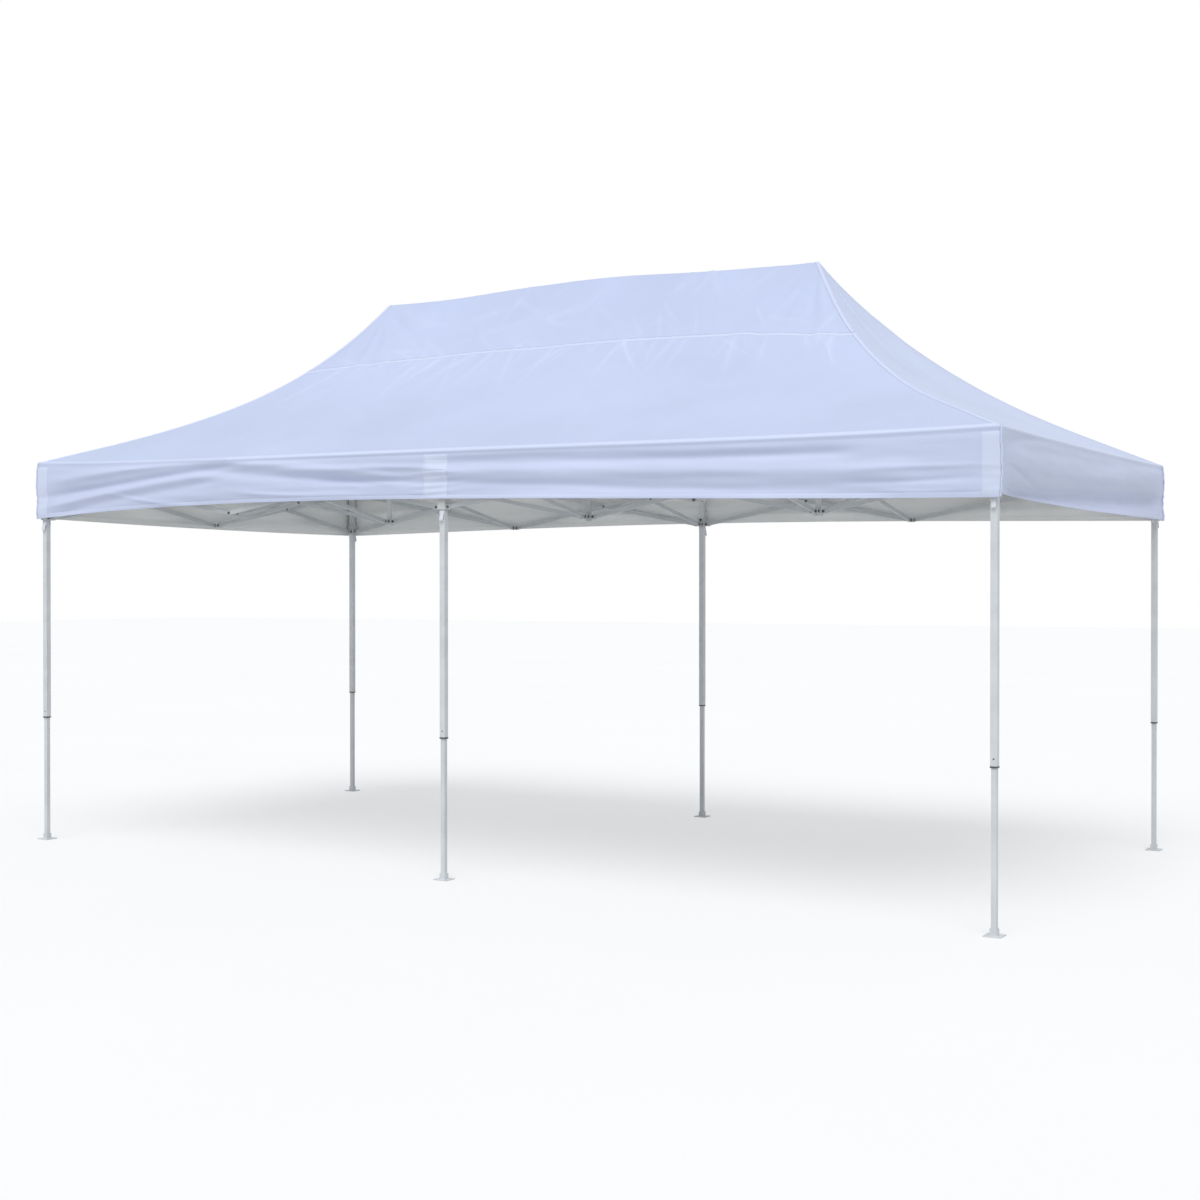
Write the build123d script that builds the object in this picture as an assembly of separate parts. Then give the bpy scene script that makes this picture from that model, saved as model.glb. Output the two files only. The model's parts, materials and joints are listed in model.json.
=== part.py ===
from build123d import *
import os
from math import hypot

# A 3 m x 6 m pop-up canopy: six telescopic legs, scissor trusses on a 1.5 m grid, two peak
# poles, a hipped fabric roof and a valance. Millimetres, +X along the long side, +Z up,
# origin on the ground at the centre.

# Grid and heights
HALF_LENGTH = 3000
HALF_WIDTH = 1500
BAY = 1500
TOP_PIN_Z = 2260
BOTTOM_PIN_Z = 1980
PIN_FROM_NODE = 38

# Clearances
FIT = 0.1
SLIDE_FIT = 0.4
PIN_FIT = 0.02
BUTTON_FIT = 0.3
SPACER_GAP = 0.2
HEAD_GAP = 0.3

# Telescopic legs
OUTER_TUBE = 32
OUTER_WALL = 1.5
INNER_TUBE = 25
INNER_WALL = 1.2
OUTER_LOW_Z = 758
OUTER_HIGH_Z = 2262
INNER_HIGH_Z = 908
FOOT_SIZE = 84
FOOT_THICK = 5
SOCKET_SIZE = 34
SOCKET_HIGH_Z = 35
STAKE_RADIUS = 5
STAKE_SPACING = 60
STAKE_FROM_LEG = 30
BUTTON_RADIUS = 4
BUTTON_Z = 790
BUTTON_INSIDE = 3
BUTTON_LENGTH = 4.6
BUSHING_LOW_Z = 750
BUSHING_HIGH_Z = 775
BUSHING_LIP = 1

# Scissor bars and pins
BAR_WIDTH = 24
BAR_THICK = 12
BAR_WALL = 1.0
BAR_OFFSET = 6.5
PIN_RADIUS = 4
PIN_HOLE_RADIUS = 4.2
HEAD_RADIUS = 8
HEAD_THICK = 3
SPACER_RADIUS = 7

# Brackets and sliders
BRACKET_SIZE = 44
BRACKET_LOW_Z = 2232
BRACKET_HIGH_Z = 2275
SLIDER_SIZE = 48
SLIDER_BORE = 33
SLIDER_BELOW_PIN = 12
SLIDER_ABOVE_PIN = 48
EAR_REACH = 52
EAR_HEIGHT = 24
EAR_THICK = 4
EAR_INSIDE = 13.5
EAR_ROOT = 2
LATCH_ABOVE_PIN = 31
LATCH_RADIUS = 8
LATCH_THICK = 5.2
LATCH_STEM_RADIUS = 3.5
LATCH_GAP = 0.3

# Peak poles
POLE_TUBE = 25
POLE_WALL = 1.2
POLE_HIGH_Z = 3332
POLE_CAP_THICK = 8
HUB_SIZE = 44
HUB_BORE = 26
CENTRE_POST_HIGH_Z = 2330
KNUCKLE_START = 17
KNUCKLE_THICK = 5

# Cover
COVER_HALF_LENGTH = 3034
COVER_HALF_WIDTH = 1534
EAVE_Z = 2288
RIDGE_Z = 3378
CLOTH = 2
SEAM_SHARE = 0.78
STRAIGHT_SHARE = 0.6
SAG_POWER = 5
SAG_STEPS = 6
MITRE_GAP = 0.6
VALANCE_LOW_Z = 1956
VALANCE_HIGH_Z = 2285

# Worked out
PIN_RISE = TOP_PIN_Z - BOTTOM_PIN_Z
LEG_SPAN = BAY - PIN_FROM_NODE
X = Vector(1, 0, 0)
Y = Vector(0, 1, 0)
UP = Vector(0, 0, 1)

nodes = {}


def add(name, *solids):
    """Puts solids into a named sub-part."""
    nodes.setdefault(name, []).extend(solids)


def at(x, y, z):
    return Vector(x, y, z)


def block(low, high):
    """A box from its low corner to its high corner."""
    size = high - low
    return Pos(*((low + high) * 0.5)) * Box(size.X, size.Y, size.Z)


def square_tube(x, y, size, wall, low, high):
    outside = Box(size, size, high - low)
    inside = Box(size - 2 * wall, size - 2 * wall, high - low + 2)
    return Pos(x, y, (low + high) / 2) * (outside - inside)


def peg(start, direction, radius, length):
    """A round peg from a point along a direction."""
    return Plane(start, z_dir=direction).location * Pos(0, 0, length / 2) * Cylinder(radius, length)


def scissor_bar(start, end, normal, offset):
    """A rectangular tube from pin to pin, beside the truss plane, with a hole at each pin."""
    run = end - start
    length = run.length
    bar = extrude(SlotCenterToCenter(length, BAR_WIDTH), BAR_THICK / 2, both=True)
    bar -= Box(length + 3 * BAR_WIDTH, BAR_WIDTH - 2 * BAR_WALL, BAR_THICK - 2 * BAR_WALL)
    for along in (-length / 2, 0, length / 2):
        bar -= Pos(along, 0, 0) * Cylinder(PIN_HOLE_RADIUS, 2 * BAR_THICK)
    middle = (start + end) * 0.5 + normal * offset
    return Plane(middle, x_dir=run.normalized(), z_dir=normal).location * bar


def rivet(point, normal, half):
    """A headed pin that joins two bars, or two ears."""
    pin = peg(point - normal * half, normal, PIN_RADIUS, 2 * half)
    for side in (-1, 1):
        pin += peg(point + normal * side * half, normal * side, HEAD_RADIUS, HEAD_THICK)
    return pin


def ear_pin(point, normal, side):
    """A headed pin through a pair of ears, with a spacer opposite the bar's side."""
    pin = rivet(point, normal, EAR_INSIDE + EAR_THICK)
    start = point - normal * side * SPACER_GAP
    return pin + peg(start, normal * -side, SPACER_RADIUS, EAR_INSIDE - 2 * SPACER_GAP)


def ears(centre, direction, start):
    """Two ears that stand out from a hub along a direction, with their pin hole."""
    normal = UP.cross(direction)
    found = []
    for side in (-1, 1):
        near = centre + direction * start + normal * side * EAR_INSIDE - UP * EAR_HEIGHT / 2
        far = centre + direction * EAR_REACH + normal * side * (EAR_INSIDE + EAR_THICK)
        far += UP * EAR_HEIGHT / 2
        low = at(min(near.X, far.X), min(near.Y, far.Y), near.Z)
        high = at(max(near.X, far.X), max(near.Y, far.Y), far.Z)
        ear = block(low, high)
        hole = centre + direction * PIN_FROM_NODE - normal * EAR_REACH
        found.append(ear - peg(hole, normal, PIN_RADIUS + PIN_FIT, 2 * EAR_REACH))
    return found


def ring(centre, size, bore, low, high):
    """A square sleeve about an upright post."""
    tall = high - low
    sleeve = Box(size, size, tall) - Box(bore, bore, tall + 2)
    return Pos(centre.X, centre.Y, (low + high) / 2) * sleeve


def with_ears(hub, centre, directions, start):
    for direction in directions:
        for ear in ears(centre, direction, start):
            hub += ear
    return hub


def knuckle(node, direction, z):
    """The fork that ties an inner truss to the outer frame between two legs."""
    centre = at(node.X, node.Y, z)
    normal = UP.cross(direction)
    half = normal * (EAR_INSIDE + EAR_THICK) + UP * EAR_HEIGHT / 2
    near = centre + direction * KNUCKLE_START - half
    far = centre + direction * (KNUCKLE_START + KNUCKLE_THICK) + half
    low = at(min(near.X, far.X), min(near.Y, far.Y), near.Z)
    high = at(max(near.X, far.X), max(near.Y, far.Y), far.Z)
    root = KNUCKLE_START + KNUCKLE_THICK - EAR_ROOT
    return with_ears(block(low, high), centre, [direction], root)


# The six legs: where each stands, the ways its trusses leave it, and its latch's way out
legs = {
    "front_mid": (at(0, -HALF_WIDTH, 0), [X, X * -1, Y], Y),
    "front_right": (at(HALF_LENGTH, -HALF_WIDTH, 0), [X * -1, Y], X),
    "front_left": (at(-HALF_LENGTH, -HALF_WIDTH, 0), [X, Y], X * -1),
    "back_right": (at(HALF_LENGTH, HALF_WIDTH, 0), [X * -1, Y * -1], X),
    "back_left": (at(-HALF_LENGTH, HALF_WIDTH, 0), [X, Y * -1], X * -1),
    "back_mid": (at(0, HALF_WIDTH, 0), [X, X * -1, Y * -1], Y * -1),
}

# The six truss rows of the outer frame: first leg, direction, last leg
rows = {
    "front_right": ("front_mid", X, "front_right"),
    "front_left": ("front_mid", X * -1, "front_left"),
    "right_end": ("front_right", Y, "back_right"),
    "left_end": ("front_left", Y, "back_left"),
    "back_right": ("back_right", X * -1, "back_mid"),
    "back_left": ("back_left", X, "back_mid"),
}


def upper_leg(name, spot, ways, latch_way):
    tube = square_tube(spot.X, spot.Y, OUTER_TUBE, OUTER_WALL, OUTER_LOW_Z, OUTER_HIGH_Z)
    for z in (BUTTON_Z, BOTTOM_PIN_Z + LATCH_ABOVE_PIN):
        way = latch_way if z > BUTTON_Z else button_way(spot)
        tube -= peg(spot + UP * z, way, BUTTON_RADIUS + BUTTON_FIT, OUTER_TUBE)
    cap = Box(BRACKET_SIZE, BRACKET_SIZE, BRACKET_HIGH_Z - BRACKET_LOW_Z)
    cap = Pos(spot.X, spot.Y, (BRACKET_LOW_Z + BRACKET_HIGH_Z) / 2) * cap
    seat = OUTER_TUBE / 2 + FIT
    cap -= block(spot - at(seat, seat, 1 - BRACKET_LOW_Z), spot + at(seat, seat, OUTER_HIGH_Z + FIT))
    cap = with_ears(cap, spot + UP * TOP_PIN_Z, ways, BRACKET_SIZE / 2 - EAR_ROOT)
    inside = OUTER_TUBE - 2 * OUTER_WALL - 2 * FIT
    bushing = ring(spot, inside, INNER_TUBE + SLIDE_FIT, BUSHING_LOW_Z, BUSHING_HIGH_Z)
    lip = OUTER_TUBE + 2 * BUSHING_LIP
    bushing += ring(spot, lip, INNER_TUBE + SLIDE_FIT, BUSHING_LOW_Z, OUTER_LOW_Z - FIT)
    add("upper_leg_" + name, tube, cap, bushing)


def button_way(spot):
    """The snap button of a leg faces out of the long side."""
    return Y if spot.Y > 0 else Y * -1


def lower_leg(name, spot):
    tube = square_tube(spot.X, spot.Y, INNER_TUBE, INNER_WALL, FOOT_THICK, INNER_HIGH_Z)
    way = button_way(spot)
    tube -= peg(spot + UP * BUTTON_Z, way, BUTTON_RADIUS + FIT, INNER_TUBE)
    inner_face = INNER_TUBE / 2 - BUTTON_INSIDE
    button = peg(spot + UP * BUTTON_Z + way * inner_face, way, BUTTON_RADIUS, BUTTON_LENGTH)
    plate = Pos(spot.X, spot.Y, FOOT_THICK / 2) * Box(FOOT_SIZE, FOOT_SIZE, FOOT_THICK)
    for side in (-1, 1):
        hole = spot + X * side * STAKE_SPACING / 2 + way * STAKE_FROM_LEG
        plate -= Pos(hole.X, hole.Y, FOOT_THICK / 2) * Cylinder(STAKE_RADIUS, 2 * FOOT_THICK)
    socket = ring(spot, SOCKET_SIZE, INNER_TUBE + 2 * FIT, FOOT_THICK - FIT, SOCKET_HIGH_Z)
    add("lower_leg_" + name, tube, button, plate + socket)


def slider(name, spot, ways, latch_way):
    low = BOTTOM_PIN_Z - SLIDER_BELOW_PIN
    high = BOTTOM_PIN_Z + SLIDER_ABOVE_PIN
    sleeve = ring(spot, SLIDER_SIZE, SLIDER_BORE, low, high)
    sleeve = with_ears(sleeve, spot + UP * BOTTOM_PIN_Z, ways, SLIDER_SIZE / 2 - EAR_ROOT)
    bore = spot + UP * (BOTTOM_PIN_Z + LATCH_ABOVE_PIN)
    sleeve -= peg(bore, latch_way, LATCH_STEM_RADIUS + 2 * FIT, SLIDER_SIZE)
    add("slider_" + name, sleeve)
    start = bore + latch_way * (SLIDER_SIZE / 2 + LATCH_GAP)
    stem = SLIDER_SIZE / 2 - OUTER_TUBE / 2
    knob = peg(start, latch_way, LATCH_RADIUS, LATCH_THICK)
    knob += peg(start, latch_way * -1, LATCH_STEM_RADIUS, stem)
    add("latch_" + name, knob)


def truss_row(name, first, way, last):
    """Two crossed pairs of bars from leg to leg, pinned end to end halfway."""
    start = legs[first][0]
    normal = UP.cross(way)
    node = start + way * BAY
    end = legs[last][0] - way * PIN_FROM_NODE
    start = start + way * PIN_FROM_NODE
    top = UP * TOP_PIN_Z
    bottom = UP * BOTTOM_PIN_Z
    middle = UP * (TOP_PIN_Z + BOTTOM_PIN_Z) / 2
    half = BAR_OFFSET + BAR_THICK / 2 + HEAD_GAP
    down_one = scissor_bar(start + top, node + bottom, normal, BAR_OFFSET)
    up_one = scissor_bar(start + bottom, node + top, normal, -BAR_OFFSET)
    up_two = scissor_bar(node + bottom, end + top, normal, -BAR_OFFSET)
    down_two = scissor_bar(node + top, end + bottom, normal, BAR_OFFSET)
    add("bar_" + name + "_1_down", down_one)
    add("bar_" + name + "_1_up", up_one, rivet((start + node) * 0.5 + middle, normal, half))
    add("bar_" + name + "_2_up", up_two, rivet(node + bottom, normal, half))
    add("bar_" + name + "_2_down", down_two, rivet((end + node) * 0.5 + middle, normal, half))
    nodes["bar_" + name + "_2_down"].append(rivet(node + top, normal, half))
    add("upper_leg_" + first, ear_pin(start + top, normal, 1))
    add("slider_" + first, ear_pin(start + bottom, normal, -1))
    add("upper_leg_" + last, ear_pin(end + top, normal, -1))
    add("slider_" + last, ear_pin(end + bottom, normal, 1))


def inner_bay(name, node, way):
    """One crossed pair of bars of an inner truss, between two grid points."""
    normal = UP.cross(way)
    start = node + way * PIN_FROM_NODE
    end = node + way * (BAY - PIN_FROM_NODE)
    top = UP * TOP_PIN_Z
    bottom = UP * BOTTOM_PIN_Z
    add(name, scissor_bar(start + top, end + bottom, normal, BAR_OFFSET))
    add(name, scissor_bar(start + bottom, end + top, normal, -BAR_OFFSET))
    half = BAR_OFFSET + BAR_THICK / 2 + HEAD_GAP
    add(name, rivet((start + end + top + bottom) * 0.5, normal, half))
    add(name, ear_pin(start + top, normal, 1), ear_pin(start + bottom, normal, -1))
    add(name, ear_pin(end + top, normal, -1), ear_pin(end + bottom, normal, 1))


def inner_trusses():
    every_way = [X, X * -1, Y, Y * -1]
    for i in range(-2, 2):
        inner_bay("centre_truss", at(i * BAY, 0, 0), X)
    for x, name in ((0, "cross_truss_middle"), (-BAY, "cross_trusses_outer"), (BAY, "cross_trusses_outer")):
        for y in (-BAY, 0):
            inner_bay(name, at(x, y, 0), Y)
    for z in (TOP_PIN_Z, BOTTOM_PIN_Z):
        for side in (-1, 1):
            end = at(side * HALF_LENGTH, 0, 0)
            add("centre_truss", knuckle(end, X * -side, z))
            for x in (-BAY, BAY):
                edge = at(x, side * HALF_WIDTH, 0)
                add("cross_trusses_outer", knuckle(edge, Y * -side, z))
        hub = ring(at(0, 0, 0), HUB_SIZE, HUB_BORE, z - EAR_HEIGHT / 2, z + EAR_HEIGHT / 2)
        add("centre_truss", with_ears(hub, UP * z, every_way, HUB_SIZE / 2 - EAR_ROOT))
    for x in (-BAY, BAY):
        z = TOP_PIN_Z
        hub = ring(at(x, 0, 0), HUB_SIZE, HUB_BORE, z - EAR_HEIGHT / 2, z + EAR_HEIGHT / 2)
        add("centre_truss", with_ears(hub, at(x, 0, z), every_way, HUB_SIZE / 2 - EAR_ROOT))
    low = BOTTOM_PIN_Z - EAR_HEIGHT
    add("centre_truss", square_tube(0, 0, POLE_TUBE, POLE_WALL, low, CENTRE_POST_HIGH_Z))


def peak_pole(name, x):
    low = BOTTOM_PIN_Z - EAR_HEIGHT
    tube = square_tube(x, 0, POLE_TUBE, POLE_WALL, low, POLE_HIGH_Z)
    hub = ring(at(x, 0, 0), HUB_SIZE, POLE_TUBE + FIT, low, BOTTOM_PIN_Z + EAR_HEIGHT / 2)
    hub = with_ears(hub, at(x, 0, BOTTOM_PIN_Z), [X, X * -1, Y, Y * -1], HUB_SIZE / 2 - EAR_ROOT)
    cap = Box(POLE_TUBE, POLE_TUBE, POLE_CAP_THICK)
    cap = Pos(x, 0, POLE_HIGH_Z + FIT + POLE_CAP_THICK / 2) * cap
    add("peak_pole_" + name, tube, hub, cap)


def roof_height(share):
    """Height of the cloth at a share of the way from the eave to the ridge: it sags."""
    curved = (1 - STRAIGHT_SHARE) * share**SAG_POWER
    return EAVE_Z + (RIDGE_Z - EAVE_Z) * (STRAIGHT_SHARE * share + curved)


def roof_strip(low_share, high_share):
    """A sagging strip of cloth, drawn along +Y from the eave and as long as the roof."""
    over = []
    for i in range(SAG_STEPS + 1):
        share = low_share + (high_share - low_share) * i / SAG_STEPS
        over.append((share * COVER_HALF_WIDTH - COVER_HALF_WIDTH, roof_height(share)))
    under = [(y, z - CLOTH) for y, z in reversed(over)]
    with BuildPart() as strip:
        with BuildSketch(Plane.YZ):
            with BuildLine():
                Spline(*over)
                Line(over[-1], under[0])
                Spline(*under)
                Line(under[-1], over[0])
            make_face()
        extrude(amount=COVER_HALF_LENGTH, both=True)
    return strip.part


def plan_prism(points):
    face = make_face(Polyline(*points, close=True))
    return extrude(Pos(0, 0, VALANCE_LOW_Z) * face, 2 * (RIDGE_Z - VALANCE_LOW_Z))


def roof():
    """Long sides cut at their sewn seam, and a triangle at each end."""
    long_edge = COVER_HALF_LENGTH - MITRE_GAP
    short_edge = BAY - MITRE_GAP
    side = plan_prism(
        [(-long_edge, -COVER_HALF_WIDTH), (long_edge, -COVER_HALF_WIDTH), (short_edge, 0), (-short_edge, 0)]
    )
    gap = MITRE_GAP / COVER_HALF_WIDTH
    lower = roof_strip(0, SEAM_SHARE - gap) & side
    upper = roof_strip(SEAM_SHARE, 1 - gap) & side
    turned = Rot(0, 0, 180)
    add("roof_front_lower", lower)
    add("roof_front_upper", upper)
    add("roof_back_lower", turned * lower)
    add("roof_back_upper", turned * upper)
    edge = COVER_HALF_WIDTH - MITRE_GAP
    triangle = plan_prism([(-edge, -COVER_HALF_WIDTH), (edge, -COVER_HALF_WIDTH), (0, -MITRE_GAP)])
    end = roof_strip(0, 1 - gap) & triangle
    shift = COVER_HALF_LENGTH - COVER_HALF_WIDTH
    add("roof_right_end", Pos(shift, 0, 0) * Rot(0, 0, 90) * end)
    add("roof_left_end", Pos(-shift, 0, 0) * Rot(0, 0, -90) * end)


def valance():
    tall = VALANCE_HIGH_Z - VALANCE_LOW_Z
    outside = Box(2 * COVER_HALF_LENGTH + 2 * CLOTH, 2 * COVER_HALF_WIDTH + 2 * CLOTH, tall)
    inside = Box(2 * COVER_HALF_LENGTH, 2 * COVER_HALF_WIDTH, tall + 2)
    add("valance", Pos(0, 0, (VALANCE_LOW_Z + VALANCE_HIGH_Z) / 2) * (outside - inside))


for name, (spot, ways, latch_way) in legs.items():
    upper_leg(name, spot, ways, latch_way)
    lower_leg(name, spot)
    slider(name, spot, ways, latch_way)
for name, (first, way, last) in rows.items():
    truss_row(name, first, way, last)
inner_trusses()
peak_pole("right", BAY)
peak_pole("left", -BAY)
roof()
valance()

os.makedirs("parts", exist_ok=True)
for name, pieces in nodes.items():
    solids = [solid for piece in pieces for solid in piece.solids()]
    export_step(Compound(children=solids), "parts/" + name + ".step")
print(len(nodes), "sub-parts; pin to pin", round(hypot(LEG_SPAN, PIN_RISE), 1), "mm")
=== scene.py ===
import json
import math

import bpy
import numpy as np
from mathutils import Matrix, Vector


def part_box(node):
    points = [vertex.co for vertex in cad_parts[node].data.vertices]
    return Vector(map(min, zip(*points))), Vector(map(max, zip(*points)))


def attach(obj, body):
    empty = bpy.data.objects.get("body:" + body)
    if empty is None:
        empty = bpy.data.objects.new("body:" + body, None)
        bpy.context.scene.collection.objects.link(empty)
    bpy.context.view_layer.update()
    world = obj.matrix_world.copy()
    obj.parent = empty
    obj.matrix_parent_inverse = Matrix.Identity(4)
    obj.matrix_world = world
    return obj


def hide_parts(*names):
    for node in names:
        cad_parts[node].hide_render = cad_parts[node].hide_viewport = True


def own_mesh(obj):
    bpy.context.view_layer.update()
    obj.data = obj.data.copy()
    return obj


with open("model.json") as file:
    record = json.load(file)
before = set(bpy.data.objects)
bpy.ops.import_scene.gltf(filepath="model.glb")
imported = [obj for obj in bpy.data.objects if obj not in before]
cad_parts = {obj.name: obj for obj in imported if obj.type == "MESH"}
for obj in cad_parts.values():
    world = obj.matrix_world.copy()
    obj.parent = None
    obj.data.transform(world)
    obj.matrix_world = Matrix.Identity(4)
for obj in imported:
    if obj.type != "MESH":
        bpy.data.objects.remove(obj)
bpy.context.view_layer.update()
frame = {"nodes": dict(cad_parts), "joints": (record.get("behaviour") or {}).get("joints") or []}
NODES = frame["nodes"]


# ---------------------------------------------------------------- sizes taken from the frame

def centre_of(node):
    low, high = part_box(node)
    return (low + high) / 2


CORNER = centre_of("lower_leg_front_right")
HALF_X, HALF_Y = CORNER.x, -CORNER.y  # leg centres, from the middle
BAY = HALF_X / 2  # the grid of the trusses
VALANCE_LOW, VALANCE_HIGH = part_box("valance")
SHELL = 0.002  # thickness of the CAD's valance and roof
EAVE_X, EAVE_Y = VALANCE_HIGH.x - SHELL, VALANCE_HIGH.y - SHELL
EAVE_Z = VALANCE_HIGH.z + SHELL
RIDGE_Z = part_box("roof_right_end")[1].z
RISE = RIDGE_Z - EAVE_Z
LEG_HALF = 0.016
SLIDER_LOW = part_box("slider_front_mid")[0].z
TOP_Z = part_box("upper_leg_front_mid")[1].z
TRUSS_MIDDLE_Z = (TOP_Z + SLIDER_LOW) / 2

JOINTS = {j["name"]: j for j in frame["joints"]}
# How far one bay closes up, along X or Y, as the frame folds
BAY_SHIFT = max(JOINTS["peak_pole_right_gather"]["range_m"]) / math.sqrt(2)
GATHER = 1 - BAY_SHIFT / BAY

# ---------------------------------------------------------------- cloth measures, in metres

SEAM_SHARE = 0.76  # where the long sides' sewn seam lies, from eave to ridge
RIDGE_BOW = 0.035  # the ridge stands a little higher between the peaks
HIP_REACH = 0.42  # how far in from a hip its own curve is felt
CLOTH_THICK = 0.0009
BAND_WIDTH = 0.020
SEAM_WIDTH = 0.014
HEM_DEPTH = 0.028
PATCH_HALF = 0.077  # half the width of the patch at a middle leg
PATCH_THICK = 0.0006
PATCH_RIM = 0.001  # a patch comes down to the cloth within this much of its edge
RIM_SHARE = 0.003  # the same at its top and bottom, as a share of the valance's depth
PATCH_SPAN = (0.07, 0.985)  # shares of the valance's depth between which a patch lies
CORNER_BAND = 0.085
CORNER_GAP = 0.004
PIPING_RADIUS = 0.0042
rng = np.random.default_rng(20)


# ---------------------------------------------------------------- materials

WEAVE = 380.0  # wave scale of the threads, over UVs in metres
STITCHES = 42.0  # wave scale of the lock stitches
CREASE_HIGHLIGHT = 0.38  # how much of the painted crease highlight shows on a full crease
MIX_FACTOR, MIX_A, MIX_B, MIX_COLOUR = 0, 6, 7, 2  # a Mix node's sockets, when it mixes colours


def grey(value):
    return (value,) * 3


class Nodes:
    """Short names for building one material's nodes."""

    def __init__(self, name):
        self.material = bpy.data.materials.new(name)
        self.material.use_nodes = True
        self.tree = self.material.node_tree
        self.shader = self.tree.nodes["Principled BSDF"]

    def add(self, kind, **inputs):
        node = self.tree.nodes.new(kind)
        for key, value in inputs.items():
            node.inputs[key.replace("_", " ")].default_value = value
        return node

    def link(self, a, b):
        self.tree.links.new(a, b)

    def coords(self, scale=(1, 1, 1), kind="Object"):
        where = self.add("ShaderNodeTexCoord")
        mapping = self.add("ShaderNodeMapping")
        mapping.inputs["Scale"].default_value = scale
        self.link(where.outputs[kind], mapping.inputs["Vector"])
        return mapping.outputs["Vector"]

    def noise(self, vector, scale, detail=3.0, rough=0.5):
        node = self.add("ShaderNodeTexNoise", Scale=scale, Detail=detail, Roughness=rough)
        self.link(vector, node.inputs["Vector"])
        return node.outputs["Fac"]

    def ramp(self, value, low, high, low_colour, high_colour):
        node = self.add("ShaderNodeValToRGB")
        node.color_ramp.elements[0].position = low
        node.color_ramp.elements[1].position = high
        node.color_ramp.elements[0].color = (*low_colour, 1)
        node.color_ramp.elements[1].color = (*high_colour, 1)
        self.link(value, node.inputs["Fac"])
        return node.outputs["Color"]

    def math(self, kind, a, b):
        node = self.add("ShaderNodeMath")
        node.operation = kind
        for socket, value in zip(node.inputs, (a, b)):
            if isinstance(value, (int, float)):
                socket.default_value = value
            else:
                self.link(value, socket)
        return node.outputs["Value"]

    def bump(self, height, distance, strength=1.0, under=None):
        node = self.add("ShaderNodeBump", Distance=distance, Strength=strength)
        self.link(height, node.inputs["Height"])
        if under is not None:
            self.link(under, node.inputs["Normal"])
        return node.outputs["Normal"]

    def set(self, **inputs):
        for key, value in inputs.items():
            self.shader.inputs[key.replace("_", " ")].default_value = value


def cloth_material(name, tone, dark_share=0.94, crease=0.0012, sheen=0.15, crease_highlight=None):
    """Coated polyester: a fine plain weave, faint crinkles and slow changes of tone, and, when a
    crease tone is given, a painted highlight along the crease ridges.
    """
    m = Nodes(name)
    flat = m.coords(kind="UV")
    solid = m.coords()
    slow = m.noise(solid, 1.3, 4.0, 0.55)
    dark = tuple(c * dark_share for c in tone)
    colour = m.ramp(slow, 0.35, 0.66, dark, tone)
    if crease_highlight:  # painted highlight: lighter along the crease ridges, where light would catch them
        marks = m.add("ShaderNodeAttribute")
        marks.attribute_name = "crease"
        mix = m.add("ShaderNodeMix")
        mix.data_type = "RGBA"
        mix.inputs[MIX_B].default_value = (*crease_highlight, 1)
        m.link(m.math("MULTIPLY", marks.outputs["Fac"], CREASE_HIGHLIGHT), mix.inputs[MIX_FACTOR])
        m.link(colour, mix.inputs[MIX_A])
        colour = mix.outputs[MIX_COLOUR]
    m.link(colour, m.shader.inputs["Base Color"])
    warp = m.add("ShaderNodeTexWave", Scale=WEAVE)
    weft = m.add("ShaderNodeTexWave", Scale=WEAVE)
    weft.bands_direction = "Y"
    for wave in (warp, weft):
        m.link(flat, wave.inputs["Vector"])
    weave = m.math("MULTIPLY", warp.outputs["Fac"], weft.outputs["Fac"])
    crinkle = m.noise(solid, 26.0, 6.0, 0.62)
    fine = m.bump(weave, 0.00018, 0.5)
    normal = m.bump(crinkle, crease, 0.8, under=fine)
    m.link(normal, m.shader.inputs["Normal"])
    rough = m.ramp(m.noise(solid, 9.0, 3.0), 0.3, 0.7, grey(0.50), grey(0.62))
    m.link(rough, m.shader.inputs["Roughness"])
    m.set(Sheen_Weight=sheen, Sheen_Roughness=0.45, Specular_IOR_Level=0.35)
    return m.material


def stitched_material(name, tone):
    """A double layer of the same cloth, with a row of lock stitches along it."""
    m = Nodes(name)
    flat = m.coords(kind="UV")
    warp = m.add("ShaderNodeTexWave", Scale=WEAVE)
    m.link(flat, warp.inputs["Vector"])
    stitch = m.add("ShaderNodeTexWave", Scale=STITCHES)
    stitch.bands_direction = "X"
    m.link(flat, stitch.inputs["Vector"])
    tint = m.ramp(stitch.outputs["Fac"], 0.2, 0.8, tuple(c * 0.93 for c in tone), tone)
    m.link(tint, m.shader.inputs["Base Color"])
    pucker = m.noise(m.coords(), 60.0, 3.0)
    height = m.math("ADD", m.math("MULTIPLY", stitch.outputs["Fac"], 0.4), pucker)
    fine = m.bump(warp.outputs["Fac"], 0.00015, 0.4)
    m.link(m.bump(height, 0.0009, 0.8, under=fine), m.shader.inputs["Normal"])
    m.set(Roughness=0.55, Sheen_Weight=0.15, Specular_IOR_Level=0.35)
    return m.material


def metal_material(name, tone, rough=0.36, metallic=0.0, grime=0.90, coat=0.25):
    """Powder coat: a fine orange-peel texture, with duller and dirtier patches."""
    m = Nodes(name)
    solid = m.coords()
    dirt = m.noise(solid, 7.0, 8.0, 0.65)
    dark = tuple(c * grime for c in tone)
    m.link(m.ramp(dirt, 0.36, 0.60, dark, tone), m.shader.inputs["Base Color"])
    streak = m.noise(m.coords((60.0, 60.0, 4.0)), 1.0, 4.0)
    worn = m.ramp(streak, 0.3, 0.7, grey(rough - 0.06), grey(rough + 0.10))
    m.link(worn, m.shader.inputs["Roughness"])
    peel = m.noise(solid, 900.0, 2.0)
    m.link(m.bump(peel, 0.00012, 0.5), m.shader.inputs["Normal"])
    m.set(Metallic=metallic, Coat_Weight=coat, Coat_Roughness=0.25)
    return m.material


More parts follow.
